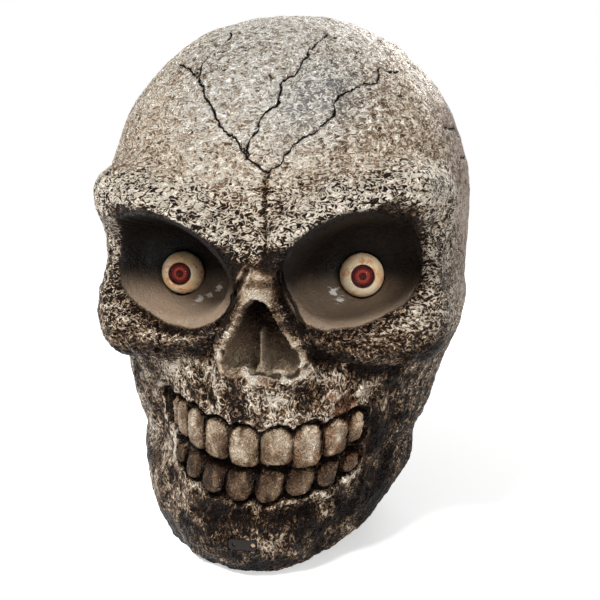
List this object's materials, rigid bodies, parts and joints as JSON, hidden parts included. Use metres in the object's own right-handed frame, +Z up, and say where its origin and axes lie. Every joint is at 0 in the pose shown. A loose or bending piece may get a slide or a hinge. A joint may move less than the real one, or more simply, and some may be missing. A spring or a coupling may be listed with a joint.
{
  "type": "animated skull decoration",
  "caption": "Free-standing moulded skull decoration with motor-driven eyes that look from side to side, a motion sensor in the chin and a battery compartment low at the back.",
  "frame": {"origin": "centre of the bounding box's bottom face, on the surface that the skull stands on", "axes": "+Z up through the crown, the face looks along -Y, +X is the skull's own left side"},
  "size_m": [0.2749, 0.293, 0.379],
  "materials": {
    "bone": "stone-like relief, dry brushed, satin",
    "tray_black": "fine moulded texture",
    "gloss_black": "smooth",
    "eye_cream": "gloss, painted veins",
    "iris_brown": "printed",
    "cornea_clear": "clear moulded plastic, gloss",
    "steel": "plain",
    "frame_grey": "fine moulded texture",
    "gear_white": "smooth",
    "motor_can": "drawn",
    "sensor_dark": "dark lens",
    "lamp_red": "tinted lens",
    "board_green": "coated",
    "cell_jacket": "printed jacket, plain",
    "contact_metal": "plated",
    "speaker_black": "frame and paper cone",
    "lead_black": "smooth",
    "lead_red": "smooth"
  },
  "bodies": {
    "housing": {"face_shell": "bone", "rear_shell": "bone", "door_hinge_pin": "steel", "shell_screw_1": "steel", "shell_screw_2": "steel", "shell_screw_3": "steel", "shell_screw_4": "steel", "eye_chassis": "frame_grey", "eye_motor": "motor_can", "gear_pin": "steel", "gear_cover": "frame_grey", "cover_screw_1": "steel", "cover_screw_2": "steel", "chassis_screw_1": "steel", "chassis_screw_2": "steel", "chassis_screw_3": "steel", "chassis_screw_4": "steel", "sensor_bezel": "gloss_black", "motion_sensor": "sensor_dark", "sensor_lamp": "lamp_red", "sensor_board": "board_green", "sensor_screw_1": "steel", "sensor_screw_2": "steel", "base_plate": "tray_black", "base_screw_1": "steel", "base_screw_2": "steel", "base_screw_3": "steel", "base_screw_4": "steel", "battery_box": "tray_black", "battery_1": "cell_jacket", "battery_2": "cell_jacket", "battery_3": "cell_jacket", "contact_strip_left": "contact_metal", "contact_strip_right": "contact_metal", "box_screw_1": "steel", "box_screw_2": "steel", "speaker": "speaker_black", "control_board": "board_green", "power_switch": "gloss_black", "motor_lead": "lead_red", "sensor_lead": "lead_black", "speaker_lead": "lead_black", "switch_lead": "lead_red", "battery_lead": "lead_red"},
    "left_eye": {"left_eyeball": "eye_cream", "left_iris": "iris_brown", "left_cornea": "cornea_clear", "left_eye_axle": "steel"},
    "right_eye": {"right_eyeball": "eye_cream", "right_iris": "iris_brown", "right_cornea": "cornea_clear", "right_eye_axle": "steel"},
    "tie_bar": {"tie_bar": "gear_white"},
    "crank": {"crank_gear": "gear_white"},
    "compound": {"compound_gear": "gear_white"},
    "pinion": {"motor_pinion": "gear_white"},
    "battery_door": {"battery_door": "bone"},
    "switch_slider": {"switch_slider": "gloss_black"}
  },
  "joints": [
    {"name": "left_eye_yaw", "type": "hinge", "parent": "housing", "child": "left_eye", "pos_m": [0.0632, -0.077, 0.197], "axis": [0, 0, 1], "range_deg": [-27.7, 12.3]},
    {"name": "right_eye_yaw", "type": "hinge", "parent": "housing", "child": "right_eye", "pos_m": [-0.0632, -0.077, 0.197], "axis": [0, 0, 1], "range_deg": [-27.7, 12.3]},
    {"name": "tie_bar_slide", "type": "slide", "parent": "housing", "child": "tie_bar", "axis": [1, 0, 0], "range_m": [-0.0039, 0.0088]},
    {"name": "crank_spin", "type": "hinge", "parent": "housing", "child": "crank", "pos_m": [0, -0.041, 0.17], "axis": [0, 0, 1], "range_deg": [-12.3, 27.7]},
    {"name": "compound_spin", "type": "hinge", "parent": "housing", "child": "compound", "pos_m": [0.0184, -0.041, 0.168], "axis": [0, 0, 1], "range_deg": [-99.8, 44.3]},
    {"name": "pinion_spin", "type": "hinge", "parent": "housing", "child": "pinion", "pos_m": [0.0336, -0.041, 0.17], "axis": [0, 0, 1], "range_deg": [-124, 279.3]},
    {"name": "battery_door_hinge", "type": "hinge", "parent": "housing", "child": "battery_door", "pos_m": [0, 0.05248, 0.012], "axis": [-1, 0, 0], "range_deg": [0, 70]},
    {"name": "switch_travel", "type": "slide", "parent": "housing", "child": "switch_slider", "axis": [1, 0, 0], "range_m": [0, 0.0035]}
  ],
  "couplings": [
    {"joint": "right_eye_yaw", "follows": "left_eye_yaw", "ratio": 1},
    {"joint": "tie_bar_slide", "follows": "left_eye_yaw", "m_per_rad": -0.018},
    {"joint": "crank_spin", "follows": "left_eye_yaw", "ratio": -1},
    {"joint": "compound_spin", "follows": "left_eye_yaw", "ratio": 3.6},
    {"joint": "pinion_spin", "follows": "left_eye_yaw", "ratio": -10.08}
  ]
}
